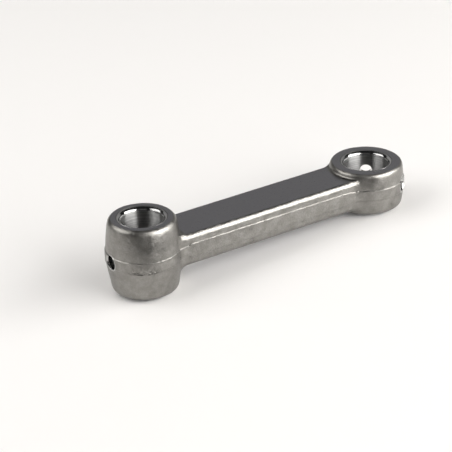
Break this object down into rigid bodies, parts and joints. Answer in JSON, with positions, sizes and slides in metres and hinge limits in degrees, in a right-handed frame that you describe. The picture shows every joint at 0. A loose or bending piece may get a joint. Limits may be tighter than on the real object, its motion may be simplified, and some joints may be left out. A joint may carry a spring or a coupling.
{
  "type": "connecting rod",
  "caption": "Forged steel connecting rod for a small engine: a tall narrow eye and a short wide eye on a flat parallel shank, each eye lined with a pressed plain bush and drilled for oil.",
  "frame": {"origin": "centre of the bounding box, on the forging's parting plane and the rod's centre line", "axes": "+X from the small end to the big end, +Z along both bores, +Y across the shank"},
  "size_m": [0.1034, 0.0244, 0.0222],
  "materials": {
    "forged_steel": "shot-blasted forged skin, ground end faces and flats",
    "small_bush_steel": "fine bored and polished",
    "big_bush_steel": "fine bored and polished"
  },
  "bodies": {
    "root": {"rod_forging": "forged_steel", "small_end_bush": "small_bush_steel", "big_end_bush": "big_bush_steel"}
  },
  "joints": []
}
